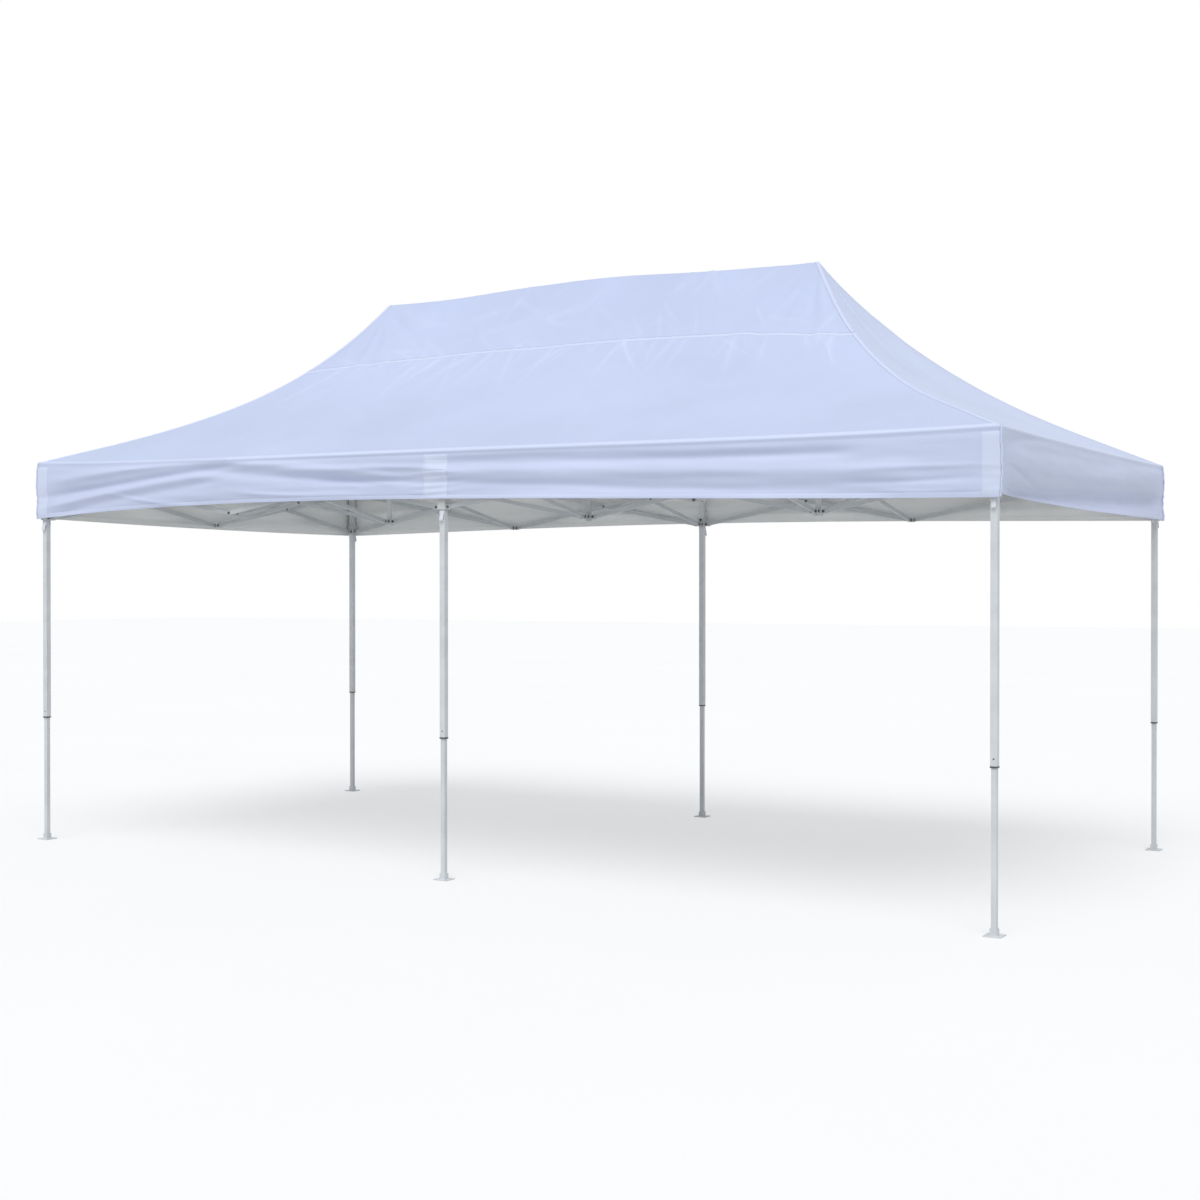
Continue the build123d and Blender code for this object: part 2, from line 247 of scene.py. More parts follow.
def plastic_material(name, tone, rough=0.48):
    """Moulded nylon: a spark-eroded grain and faint flow marks."""
    m = Nodes(name)
    solid = m.coords()
    flow = m.noise(m.coords((14.0, 14.0, 40.0)), 1.0, 5.0)
    dark = tuple(c * 0.88 for c in tone)
    m.link(m.ramp(flow, 0.35, 0.65, dark, tone), m.shader.inputs["Base Color"])
    grain = m.noise(solid, 1400.0, 2.0)
    m.link(m.bump(grain, 0.00015, 0.6), m.shader.inputs["Normal"])
    shine = m.ramp(m.noise(solid, 30.0), 0.3, 0.7, grey(rough - 0.08), grey(rough + 0.08))
    m.link(shine, m.shader.inputs["Roughness"])
    return m.material


# the roof's second tone is a painted highlight along its crease ridges
ROOF = cloth_material("roof_polyester", (0.51, 0.575, 0.77), crease=0.0016,
                      crease_highlight=(0.62, 0.68, 0.86))
# painted light: the end panels get a lighter copy of the same roof cloth, for the brighter light on
# the ends
END_ROOF_PAINTED_LIGHT = cloth_material("end_polyester", (0.57, 0.635, 0.82), crease=0.0016)
VALANCE = cloth_material("valance_polyester", (0.577, 0.634, 0.82), crease=0.0010)
# partly real, partly painted light: the underside's neutral grey coating is its own tone, but it is
# made near white to stand in for daylight shining through the cloth
LINING = cloth_material("coated_underside_and_painted_light", (0.86, 0.87, 0.865), dark_share=0.93, sheen=0.0)
BAND = stitched_material("sewn_band", (0.62, 0.68, 0.855))
PATCH = cloth_material("sewn_patch", (0.635, 0.695, 0.865), dark_share=0.96, crease=0.0014)
SEAM = stitched_material("sewn_seam", (0.61, 0.67, 0.86))
PAINT = metal_material("white_powder_coat", (0.66, 0.69, 0.71))
# partly real, partly painted shade: the bars' light grey powder coat is darkened to take in the
# shade of their lower edges
BAR_PAINT_AND_SHADE = metal_material("grey_powder_coat_and_painted_shade", (0.535, 0.565, 0.585), rough=0.40)
STEEL = metal_material("zinc_plated_steel", (0.16, 0.165, 0.17), rough=0.38, metallic=0.9,
                       coat=0.0)
WHITE_NYLON = plastic_material("white_nylon", (0.60, 0.62, 0.63))
BLACK_NYLON = plastic_material("black_nylon", (0.018, 0.018, 0.020))
WEBBING = stitched_material("strap_webbing", (0.72, 0.74, 0.80))


# ---------------------------------------------------------------- mesh helpers

def make_object(name, points, faces, materials, face_slots=None, uvs=None):
    """A smooth-shaded mesh object in the row frame."""
    mesh = bpy.data.meshes.new(name)
    mesh.from_pydata([tuple(p) for p in points], [], [tuple(f) for f in faces])
    mesh.update()
    for material in materials:
        mesh.materials.append(material)
    if face_slots is not None:
        mesh.polygons.foreach_set("material_index", np.asarray(face_slots, np.int32))
    mesh.polygons.foreach_set("use_smooth", np.ones(len(mesh.polygons), bool))
    if uvs is not None:
        layer = mesh.uv_layers.new(name="UVMap")
        loops = np.zeros(len(mesh.loops), np.int32)
        mesh.loops.foreach_get("vertex_index", loops)
        layer.data.foreach_set("uv", np.asarray(uvs, np.float32)[loops].ravel())
    obj = bpy.data.objects.new(name, mesh)
    bpy.context.scene.collection.objects.link(obj)
    return obj


def grid_faces(rows, columns, first, flip):
    """The quads of a grid of points whose first point has the number first."""
    faces = []
    for i in range(rows - 1):
        for j in range(columns - 1):
            a = first + i * columns + j
            quad = (a, a + 1, a + columns + 1, a + columns)
            faces.append(quad[::-1] if flip else quad)
    return faces


class Patchwork:
    """Several grids of points in one mesh, each with its own material slot."""

    def __init__(self):
        self.points, self.uvs, self.faces, self.slots, self.marks = [], [], [], [], []

    def grid(self, points, uvs, slot=0, flip=False, marks=None):
        """points and uvs are arrays of rows by columns by 3 and by 2."""
        rows, columns = points.shape[:2]
        self.marks.extend(np.zeros(rows * columns) if marks is None else marks.ravel())
        faces = grid_faces(rows, columns, len(self.points), flip)
        self.points.extend(points.reshape(-1, 3))
        self.uvs.extend(uvs.reshape(-1, 2))
        self.faces.extend(faces)
        self.slots.extend([slot] * len(faces))

    def build(self, name, materials):
        """The mesh object, with its marks as the attribute that the cloth's material reads for a
        painted highlight along the creases.
        """
        obj = make_object(name, self.points, self.faces, materials, self.slots, self.uvs)
        layer = obj.data.attributes.new("crease", "FLOAT", "POINT")
        layer.data.foreach_set("value", np.asarray(self.marks, np.float32))
        return obj


def apply_modifiers(obj):
    """Puts the modifiers' result into the mesh."""
    graph = bpy.context.evaluated_depsgraph_get()
    mesh = bpy.data.meshes.new_from_object(obj.evaluated_get(graph))
    obj.modifiers.clear()
    obj.data = mesh


def thicken(obj, thickness, inner_slot=0, offset=-1.0):
    """Gives a sheet its thickness, inward unless offset is 1.

    inner_slot is added to the material slots of the inner faces.
    """
    solid = obj.modifiers.new("thickness", "SOLIDIFY")
    solid.thickness = thickness
    solid.offset = offset
    solid.material_offset = inner_slot
    apply_modifiers(obj)


def union(count, pairs):
    """The group number of each of count things, joined by pairs."""
    parent = list(range(count))

    def root(i):
        while parent[i] != i:
            parent[i] = parent[parent[i]]
            i = parent[i]
        return i

    for a, b in pairs:
        ra, rb = root(a), root(b)
        if ra != rb:
            parent[rb] = ra
    return np.array([root(i) for i in range(count)])


def separate_solids(obj):
    """A CAD node's separate solids: face numbers, lowest and highest corners, and points of each."""
    mesh = obj.data
    co = np.array([v.co for v in mesh.vertices])
    same = np.unique(np.round(co, 5), axis=0, return_inverse=True)[1].reshape(-1)
    faces = [[same[i] for i in p.vertices] for p in mesh.polygons]
    pairs = [(f[0], other) for f in faces for other in f[1:]]
    group = union(same.max() + 1, pairs)
    of_face = np.array([group[f[0]] for f in faces])
    found = []
    for g in np.unique(of_face):
        numbers = np.nonzero(of_face == g)[0]
        corners = co[sorted({i for n in numbers for i in mesh.polygons[n].vertices})]
        found.append((numbers, Vector(corners.min(0)), Vector(corners.max(0)), corners))
    return found


def finish_cad_node(name, main, small, small_size=0.06):
    """Gives a CAD node its finish, and its small separate solids, such as rivets, another."""
    obj = NODES[name]
    obj.data.materials.clear()
    obj.data.materials.append(main)
    obj.data.materials.append(small)
    slots = np.zeros(len(obj.data.polygons), np.int32)
    for numbers, low, high, _ in separate_solids(obj):
        if max(high - low) < small_size:
            slots[numbers] = 1
    obj.data.polygons.foreach_set("material_index", slots)


# ---------------------------------------------------------------- the roof's shape

def smooth(a):
    a = np.clip(a, 0, 1)
    return a * a * (3 - 2 * a)


def line_through(*stations, degree=4):
    """A smooth line by heights at a few places along a side."""
    places, heights = zip(*stations)
    return np.polynomial.Polynomial.fit(places, heights, degree)


EAVES = {
    "front": line_through((-3.04, 2.318), (-2.4, 2.306), (-1.6, 2.283), (-0.8, 2.283), (0, 2.285),
                          (0.75, 2.272), (1.5, 2.263), (2.3, 2.264), (3.04, 2.272)),
    "back": line_through((-3.04, 2.292), (-1.5, 2.270), (0, 2.284), (1.5, 2.268), (3.04, 2.272)),
    "right": line_through((-1.54, 2.272), (0, 2.264), (1.54, 2.272), degree=2),
    "left": line_through((-1.54, 2.318), (0, 2.276), (1.54, 2.292), degree=2),
}
HEMS = {
    "front": line_through((-3.04, 1.975), (-2.5, 2.006), (-1.7, 2.030), (-0.95, 2.034), (0, 2.023),
                          (0.75, 2.004), (1.5, 1.986), (2.3, 1.966), (3.04, 1.952)),
    "back": line_through((-3.04, 1.948), (-1.5, 1.975), (0, 1.988), (1.5, 1.975), (3.04, 1.948)),
    "right": line_through((-1.54, 1.972), (-0.9, 1.955), (0, 1.945), (1.54, 1.951), degree=3),
    "left": line_through((-1.54, 1.980), (0, 1.955), (1.54, 1.949), degree=2),
}
# Each curve from eave to peak: the share of the rise that is straight, and the power of the rest
HIPS = {(1, -1): (0.525, 3.6), (1, 1): (0.60, 3.6), (-1, -1): (0.565, 3.5), (-1, 1): (0.58, 3.6)}
LONG_SIDE_CURVE = (0.65, 4)
END_CURVE = (0.57, 4.5)


SEAM_CREASES, UPPER_CREASES = 80, 30  # how many there are on each long side


def make_creases():
    """Fine creases: short lines that fan from the seams, each (x, y, dx, dy, width, height)."""
    lines = []
    seam_y = EAVE_Y * (1 - SEAM_SHARE)
    for side in (-1, 1):
        for _ in range(SEAM_CREASES):
            x = rng.uniform(-1.95, 1.95)
            length = rng.uniform(0.08, 0.42)
            lean = rng.normal(0.45 * np.clip(x, -1, 1) - 0.25, 0.45)
            away = rng.choice([1, 1, 1, -0.5])
            lines.append((x, side * seam_y, lean * length, side * away * length,
                          rng.uniform(0.010, 0.020), rng.uniform(0.003, 0.0075)))
        for _ in range(UPPER_CREASES):
            x = rng.uniform(-1.4, 1.4)
            y = side * rng.uniform(0.05, 0.30)
            length = rng.uniform(0.15, 0.45)
            angle = rng.uniform(-1.0, 1.0)
            lines.append((x, y, length * math.cos(angle), length * math.sin(angle),
                          rng.uniform(0.010, 0.018), rng.uniform(0.002, 0.006)))
    return lines


CREASES = make_creases()
CREASE_TALL = 0.006  # the height of a crease that gets the full painted highlight
CREASE_BOW = 0.12  # how far a crease bends aside, as a share of its length


def creases(x, y):
    """Height of the fine creases alone."""
    total = 0 * (x + y)
    for cx, cy, dx, dy, width, height in CREASES:
        length = math.hypot(dx, dy)
        along = ((x - cx) * dx + (y - cy) * dy) / length**2
        across = ((x - cx) * dy - (y - cy) * dx) / length
        bend = across + CREASE_BOW * length * along * along
        near = (along > -0.02) & (along < 1) & (np.abs(bend) < 3 * width)
        fade = np.clip(along, 0, 1) ** 0.3 * (1 - np.clip(along, 0, 1)) ** 0.8
        total = total + np.where(near, height * fade * np.exp(-((bend / width) ** 2)), 0)
    return total


BROAD_SWELL, CROSS_SWELL = 0.0040, 0.0030  # heights of the cloth's slow unevenness
PEAK_FAN = 0.0050  # height of the folds that fan out from a peak
FAN_REACH, FAN_START = 0.55, 0.25  # how far they reach, and where they have come up in full


def wrinkles(x, y, t):
    """Height that the cloth's folds add, the same from either side of a seam."""
    total = BROAD_SWELL * np.sin(2.1 * x + 0.7 * np.sin(1.7 * y)) * np.cos(2.6 * y + 0.4 * x)
    total += CROSS_SWELL * np.sin(5.3 * x - 3.1 * y + 1.2) * np.sin(3.7 * y + 1.9 * x)
    for peak in (-BAY, BAY):
        dx, dy = x - peak, y
        reach = np.hypot(dx, dy) + 1e-6
        angle = np.arctan2(dy, dx)
        fan = np.sin(11 * angle + 0.6 * peak) + 0.6 * np.sin(17 * angle + 1.3)
        total += PEAK_FAN * fan * np.exp(-reach / FAN_REACH) * smooth(reach / FAN_START)
    return total * smooth(t * 5) + creases(x, y)


def rise_share(t, curve):
    """Share of the rise at a share t of the way from eave to peak."""
    straight, power = curve
    return straight * t + (1 - straight) * t**power


def hip_share(x, y, t):
    """Share of the rise along the nearest hip."""
    total = 0
    for (way_x, way_y), curve in HIPS.items():
        across = smooth(0.5 + way_x * x / BAY / 2) * smooth(0.5 + way_y * y / 0.5)
        total = total + across * rise_share(t, curve)
    return total


def roof_height(x, y):
    """Height of the cover: concave hips, fuller long sides, and a ridge that is almost straight."""
    x, y = np.asarray(x, float), np.asarray(y, float)
    t_side = 1 - np.abs(y) / EAVE_Y
    t_end = (EAVE_X - np.abs(x)) / (EAVE_X - BAY)
    t = np.clip(np.minimum(t_side, t_end), 0, 1)
    near = np.exp(-((np.abs(t_side - t_end) * EAVE_Y / HIP_REACH) ** 2))
    side = rise_share(t, LONG_SIDE_CURVE)
    end = rise_share(t, END_CURVE)
    share = near * hip_share(x, y, t) + (1 - near) * np.where(t_side <= t_end, side, end)
    along_x = x * EAVE_X / (EAVE_X - (EAVE_X - BAY) * t)
    along_y = y / np.maximum(1 - t, 0.02)
    long_eave = np.where(y < 0, EAVES["front"](along_x), EAVES["back"](along_x))
    end_eave = np.where(x < 0, EAVES["left"](along_y), EAVES["right"](along_y))
    eave = np.where(t_side <= t_end, long_eave, end_eave)
    bow = RIDGE_BOW * np.clip(1 - (x / BAY) ** 2, 0, 1) * smooth(t_end - t_side) * t**2
    return EAVE_Z + (eave - EAVE_Z) * (1 - t) ** 1.5 + RISE * share + bow + wrinkles(x, y, t)


def cloth_point(x, y, lift=0.0):
    """A point of the cover, or of a strip that lies lift above it."""
    return np.stack(np.broadcast_arrays(x, y, roof_height(x, y) + lift), axis=-1)


def flat_uvs(u, v):
    return np.stack(np.broadcast_arrays(u, v), axis=-1)


def run_lengths(points):
    """Running length down the middle column of a grid, for its UVs."""
    column = points[:, points.shape[1] // 2]
    steps = np.linalg.norm(np.diff(column, axis=0), axis=1)
    return np.concatenate([[0], np.cumsum(steps)])


def shares(low, high, coarse, fine_from=1.0, fine_to=1.0, fine=0.0):
    """Shares from low to high in steps, closer together in one stretch."""
    found = [low]
    while found[-1] < high - 1e-9:
        here = found[-1]
        found.append(min(high, here + (fine if fine_from <= here < fine_to else coarse)))
    return np.array(found)


# A band or seam strip across its width: how far in from its edge, and how far above the cloth
BAND_INSET = np.array([0.0, 0.004, BAND_WIDTH - 0.004, BAND_WIDTH])
BAND_LIFT = np.array([0.0022, 0.0018, 0.0014, -0.0004])
STRIP_INSET = np.array([0.0, 0.002, SEAM_WIDTH - 0.002, SEAM_WIDTH])[:, None]
STRIP_LIFT = np.array([0.0016, 0.0016, 0.0013, -0.0004])[:, None]
ROW_STEP, FINE_ROW_STEP = 0.018, 0.0065  # rows of the long sides, as shares of the way up
END_ROW_STEP = 0.016
END_TOP = 0.997  # an end panel stops just short of its peak, where it would be a point


def half_length(t):
    """Half the cover's length along X at a share t of the way up."""
    return EAVE_X - (EAVE_X - BAY) * t


def side_panel(name, way, low, high, columns):
    """A long side's cloth between two shares of the way up. way is -1 in front, 1 at the back."""
    work = Patchwork()
    t = shares(low, high, ROW_STEP, SEAM_SHARE - 0.30, SEAM_SHARE + 0.22, FINE_ROW_STEP)[:, None]
    s = np.linspace(-1, 1, columns)[None, :]
    half = half_length(t)
    points = cloth_point(half * s, way * EAVE_Y * (1 - t) + 0 * s)
    lengths = run_lengths(points)[:, None]
    # how much painted highlight each point gets, from the height of its creases
    marks = creases(points[..., 0], points[..., 1]) / CREASE_TALL
    work.grid(points, flat_uvs(points[..., 0], lengths), 0, way > 0, marks)
    for end in (-1, 1):
        x = end * (half - BAND_INSET)
        band = cloth_point(x, way * EAVE_Y * (1 - t) + 0 * x, BAND_LIFT)
        work.grid(band, flat_uvs(lengths, BAND_INSET), 2, flip=(way > 0) != (end < 0))
    if low == 0:  # only the lower panel has the sewn seam's strip, along its top
        across = high - STRIP_INSET / EAVE_Y
        x, y = half_length(across) * s, way * EAVE_Y * (1 - across) + 0 * s
        strip = cloth_point(x, y, STRIP_LIFT)
        uvs = flat_uvs(strip[..., 0], STRIP_INSET)
        work.grid(strip[::-1], uvs[::-1], 3, flip=way > 0)
    return work.build(name, [ROOF, LINING, BAND, SEAM]), points


def end_panel(name, way, columns):
    """A triangular end's cloth, with a band down each hip. way is -1 at the left end, or 1."""
    work = Patchwork()
    t = shares(0, END_TOP, END_ROW_STEP)[:, None]
    s = np.linspace(-1, 1, columns)[None, :]
    x = way * half_length(t)
    half = EAVE_Y * (1 - t)
    points = cloth_point(x + 0 * s, half * s)
    lengths = run_lengths(points)[:, None]
    work.grid(points, flat_uvs(points[..., 1], lengths), 0, flip=way < 0)
    for side in (-1, 1):
        inset = np.minimum(BAND_INSET, half * 0.9)
        y = side * (half - inset)
        band = cloth_point(x + 0 * y, y, BAND_LIFT)
        work.grid(band, flat_uvs(lengths, inset), 2, flip=(way < 0) != (side < 0))
    return work.build(name, [END_ROOF_PAINTED_LIGHT, LINING, BAND]), points


def grid_area(points):
    """Area of a grid of points, from its quads' diagonals."""
    one = points[1:, 1:] - points[:-1, :-1]
    two = points[1:, :-1] - points[:-1, 1:]
    return float(np.linalg.norm(np.cross(one, two), axis=-1).sum() / 2)


# The share of its width that cloth along each kind of side keeps when the frame is folded
EAVE_KEEP = (HALF_X * GATHER + EAVE_X - HALF_X) / EAVE_X
END_KEEP = (HALF_Y * GATHER + EAVE_Y - HALF_Y) / EAVE_Y
# How cloth gathers as the frame folds: the axis that it closes up along, to where, and EAVE_KEEP,
# END_KEEP or GATHER
LONG_GATHER = ((1, 0, 0), (0, 0, 0), EAVE_KEEP)
END_GATHER = ((0, 1, 0), (0, -EAVE_Y, 0), END_KEEP)
RIDGE_GATHER = ((1, 0, 0), (-BAY, 0, 0), GATHER)


def declare_cover(obj, points, node, gather):
    """Thickens a sheet of the cover, hides the CAD node that it stands for, and ties the sheet to
    that node's body.
    """
    thicken(obj, CLOTH_THICK, 1)
    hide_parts(node)
    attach(obj, node)
    axis, anchor, keep = gather
    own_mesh(obj)
    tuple(axis)
    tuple(anchor)
    edges = (points[0], points[-1])
    width = float(max(np.linalg.norm(np.diff(row, axis=0), axis=1).sum() for row in edges))
    length = float(run_lengths(points)[-1])
    area = min(grid_area(points), width * length)


def roof():
    for way, side, columns in ((-1, "front", 470), (1, "back", 300)):
        panel = side_panel(f"cover_{side}_lower", way, 0.0, SEAM_SHARE, columns)
        declare_cover(*panel, f"roof_{side}_lower", LONG_GATHER)
        panel = side_panel(f"cover_{side}_upper", way, SEAM_SHARE, 1.0, columns)
        declare_cover(*panel, f"roof_{side}_upper", RIDGE_GATHER)
    for way, side in ((-1, "left"), (1, "right")):
        declare_cover(*end_panel(f"cover_{side}_end", way, 150), f"roof_{side}_end", END_GATHER)


# ---------------------------------------------------------------- the valance

LONG_SIDES = ("front", "back")
FLIPPED = ("front", "right")  # the sides whose grids of points run the other way round
# Long soft folds: from (place along the side, share of the way down) to another, thickness, and
# how proud
FOLDS = {
    "front": [
        ((-3.04, 0.42), (-1.50, -0.08), 0.10, 0.013), ((-3.04, 0.66), (-1.55, 0.14), 0.09, -0.013),
        ((-3.04, 0.82), (-1.65, 0.34), 0.08, 0.009), ((-3.00, 1.00), (-1.75, 0.56), 0.08, -0.008),
        ((-2.30, 0.72), (-1.85, 0.98), 0.05, 0.005), ((-1.45, 0.02), (-0.45, 0.42), 0.10, 0.008),
        ((-1.60, 0.22), (-0.55, 0.64), 0.09, -0.011), ((-1.25, 0.80), (-0.70, 0.90), 0.06, 0.006),
        ((-0.95, 0.28), (-0.12, 0.36), 0.08, 0.008), ((-0.70, 0.57), (-0.05, 0.60), 0.08, -0.012),
        ((0.04, 0.24), (2.20, 0.30), 0.11, -0.013), ((0.04, 0.44), (2.50, 0.58), 0.15, 0.011),
        ((0.08, 0.66), (2.40, 0.88), 0.10, -0.007), ((0.50, 0.98), (2.60, 1.05), 0.10, 0.006),
        ((2.45, 0.56), (3.04, 0.50), 0.05, 0.005), ((2.40, 0.74), (3.04, 0.68), 0.05, -0.005),
        ((2.60, 0.88), (3.04, 0.92), 0.05, 0.004),
    ],
    "back": [
        ((-3.04, 0.60), (-1.40, 0.15), 0.10, -0.012), ((-3.04, 0.40), (-1.30, 0.02), 0.10, 0.011),
        ((-1.40, 0.35), (-0.05, 0.50), 0.12, 0.010), ((-1.50, 0.70), (-0.05, 0.72), 0.10, -0.010),
        ((0.05, 0.25), (1.80, 0.20), 0.11, -0.011), ((0.05, 0.50), (2.20, 0.42), 0.12, 0.011),
        ((1.30, 0.20), (3.04, 0.62), 0.10, -0.012), ((0.30, 0.80), (2.60, 0.78), 0.09, -0.009),
    ],
    "right": [
        ((-1.54, 0.56), (1.54, 0.26), 0.25, 0.016), ((-1.54, 0.95), (1.54, 0.68), 0.10, -0.022),
        ((-1.54, 0.18), (-0.95, 0.04), 0.09, -0.008), ((-0.60, 1.10), (1.54, 0.96), 0.10, 0.012),
        ((-1.54, 0.52), (-1.10, 0.74), 0.05, -0.004),
    ],
    "left": [
        ((-1.54, 0.35), (0.60, 0.20), 0.14, 0.012), ((-1.54, 0.70), (0.90, 0.48), 0.11, -0.014),
        ((-0.60, 0.85), (1.54, 0.60), 0.10, 0.012), ((0.20, 0.30), (1.54, 0.45), 0.10, -0.009),
    ],
}
NEIGHBOURS = {"front": ("left", "right"), "back": ("left", "right"),
              "right": ("front", "back"), "left": ("front", "back")}
LIPS = {"front": 1.0, "back": 0.8, "right": 0.3, "left": 0.3}  # how crisp each side's eave seam is
VALANCE_DROP = 0.004  # the valance starts this far below the roof's cloth
HEM_PRESS = 0.0012  # how deep the hem's stitches sink in
CLOTH_DROP = 0.33  # the valance's depth in metres, near enough to size a patch's weave
LIP_FROM = -1.5  # left of here the front's eave seam is pulled flat, with no lip of its own
STRAP_AT = -0.03  # the strap that ties the cloth to a middle leg


def fold(a, v, start, end, thick, proud):
    """One long soft fold of the hanging cloth."""
    along = (a - start[0]) / (end[0] - start[0])
    line = start[1] + (end[1] - start[1]) * along + 0.025 * np.sin(2.7 * along + 9 * start[1])
    edge = 0.22 / abs(end[0] - start[0])
    ease = smooth((along + edge) / edge) * smooth((1 + edge - along) / edge)
    width = thick * (1 + 0.25 * np.sin(4 * along + 5 * start[1]))
    return proud * ease * np.exp(-(((v - line) / width) ** 2))


STAND_OFF = 0.004  # how far the valance hangs out from the eave's plane
RIPPLE, FINE_RIPPLE = 0.0014, 0.0006
CORNER_REACH, CORNER_EASE, CORNER_FLAT = 0.10, 0.30, 0.78  # the corners pull the folds flat
CORNER_PUCKERS = ((0.56, 0.020), (0.68, 0.028), (0.90, 0.024))  # how far down, and how tall
CORNER_PUCKER, STRAP_PUCKER = 0.0020, 0.0024
STRAP_TOP = 0.42  # the strap pulls the cloth in from this share of the way down
HEM_SWING = 0.007


def billow(side, a, v):
    """How far the hanging cloth stands out from the eave's plane: long folds, and fine puckers."""
    end = EAVE_X if side in LONG_SIDES else EAVE_Y
    out = STAND_OFF + 0 * (a + v)
    for start, finish, thick, proud in FOLDS[side]:
        out = out + fold(a, v, start, finish, thick, proud)
    out = out + RIPPLE * np.sin(15 * v + 2.4 * a + 0.8 * np.sin(3.1 * a)) * np.sin(1.9 * a + 5 * v)
    out = out + FINE_RIPPLE * np.sin(31 * v - 5.1 * a) * np.sin(7.3 * a + 3 * v)
    near = np.exp(-((end - np.abs(a)) / CORNER_REACH) ** 2)
    flatten = CORNER_FLAT * smooth((np.abs(a) - end) / CORNER_EASE + 1)
    out = STAND_OFF + (out - STAND_OFF) * (1 - flatten)
    for place, tall in CORNER_PUCKERS:
        line = place + 0.25 * (end - np.abs(a)) * np.sin(9 * place)
        out = out + CORNER_PUCKER * near * np.exp(-(((v - line) / tall) ** 2))
    if side in LONG_SIDES:
        away = np.abs(a - STRAP_AT)
        held = np.exp(-((away / 0.09) ** 2)) * smooth((v - STRAP_TOP) / 0.1)
        puckers = STRAP_PUCKER * np.sin(46 * v + 9 * (a - STRAP_AT)) * np.exp(-((away / 0.13) ** 2))
        puckers = puckers * smooth((v - STRAP_TOP + 0.02) / 0.08) * smooth((1.02 - v) / 0.1)
        out = out * (1 - 0.5 * held) + puckers
    out = out + HEM_SWING * smooth((v - 0.80) / 0.2) * np.sin(1.4 * a + 0.6) * (1 - near)
    return out * smooth(v * 6)


def side_frame(side):
    """How far the side's plane is out from the middle, its sign, and half the side's length."""
    plane, end = (EAVE_Y, EAVE_X) if side in LONG_SIDES else (EAVE_X, EAVE_Y)
    return plane, -1 if side in ("front", "left") else 1, end


def along_and_out(side, along, out):
    """X and Y from a place along a side and a signed distance out from the middle."""
    return (along, out) if side in LONG_SIDES else (out, along)


def by_corner(side, a, reach):
    """-1 or 1 at the side's ends, smoothly down to 0 this far before them."""
    return smooth((np.abs(a) - side_frame(side)[2]) / reach + 1) * np.sign(a)


def valance_point(side, a, v, lift=0.0):
    """A point of the valance: a along the side, v from 0 at the eave to 1 at the hem."""
    plane, sign, _ = side_frame(side)
    a, v = np.broadcast_arrays(np.asarray(a, float), np.asarray(v, float))
    top = roof_height(*along_and_out(side, a, sign * plane + 0 * a)) - VALANCE_DROP
    z = top + (HEMS[side](a) - top) * v
    out = plane + billow(side, a, v) + lift
    near = by_corner(side, a, CORNER_REACH)
    for way, other in zip((-1, 1), NEIGHBOURS[side]):  # meets its neighbours in one line
        a = a + np.where(near * way > 0, near * billow(other, sign * plane, v), 0)
    return np.stack([*along_and_out(side, a, sign * out), z], axis=-1)


# The rolled eave seam in section, from on the roof round to the valance: how far in from the
# eave's plane, how far above the cloth, and how far below it
LIP = ((0.030, -0.0006, 0), (0.026, 0.0016, 0), (0.018, 0.0040, 0), (0.008, 0.0044, 0),
       (0.001, 0.0030, 0), (-0.0035, 0, 0.0010), (-0.0050, 0, 0.0055), (-0.0040, 0, 0.0105))
LIP_CORNER = 0.05


def lip_rows(side, a):
    """The rolled seam where the valance meets the roof, row by row."""
    plane, sign, _ = side_frame(side)
    crisp = LIPS[side] * (1 - 0.75 * smooth((-1.3 - a) / 0.6) if side == "front" else 1 + 0 * a)
    near = by_corner(side, a, LIP_CORNER)
    rows = []
    for inset, lift, drop in LIP:
        across = plane - max(inset, 0) + 0 * a
        z = roof_height(*along_and_out(side, a, sign * across)) + lift * crisp - drop
        out = plane - inset * (1 if inset > 0 else crisp) + 0 * a
        reach = a + near * max(-inset, 0)
        rows.append(np.stack([*along_and_out(side, reach, sign * out), z], axis=-1))
    return np.array(rows)


def valance_side(side, columns):
    """One side's hanging cloth, from its eave seam to its stitched hem."""
    _, sign, end = side_frame(side)
    a = np.linspace(-end, end, columns)
    hem = 1 - HEM_DEPTH / (EAVE_Z - VALANCE_LOW.z)
    near_hem = (hem - 0.008, hem, hem + 0.01, 0.97, 0.995, 1.0)
    v = np.array([*np.linspace(0.055, hem - 0.02, 40), *near_hem])
    hang = valance_point(side, a[None, :], v[:, None])
    press = HEM_PRESS * np.exp(-(((v - hem) / 0.006) ** 2)) - CLOTH_THICK * (v > hem)
    hang[..., 1 if side in LONG_SIDES else 0] -= sign * press[:, None]
    points = np.concatenate([lip_rows(side, a), hang])
    work = Patchwork()
    work.grid(points, flat_uvs(a[None, :], run_lengths(points)[:, None]), 0, flip=side in FLIPPED)
    lip = [0 if side == "front" and place < LIP_FROM else 2 for place in a[:-1]] * (len(LIP) - 1)
    work.slots[:len(lip)] = lip
    seam = SEAM if LIPS[side] > 0.5 else BAND
    return work.build(f"valance_{side}", [VALANCE, LINING, seam]), points


def patch_on(side, name, ends, span, lift, rows=34):
    """A second layer of cloth on the valance, between two ends and two shares of its depth."""
    (low_a, high_a), (low_v, high_v) = ends, span
    a = np.array([low_a, *np.linspace(low_a + PATCH_RIM, high_a - PATCH_RIM, 10), high_a])
    v = np.array([low_v, *np.linspace(low_v + RIM_SHARE, high_v - RIM_SHARE, rows), high_v])
    from_end, from_side = np.minimum(v - low_v, high_v - v), np.minimum(a - low_a, high_a - a)
    rim = np.minimum.outer(from_end * 0.3, from_side)
    points = valance_point(side, a[None, :], v[:, None], lift * np.clip(rim / PATCH_RIM, 0.5, 1))
    work = Patchwork()
    work.grid(points, flat_uvs(a[None, :], CLOTH_DROP * v[:, None]), 0, flip=side in FLIPPED)
    obj = work.build(name, [PATCH])
    thicken(obj, PATCH_THICK)
    return obj


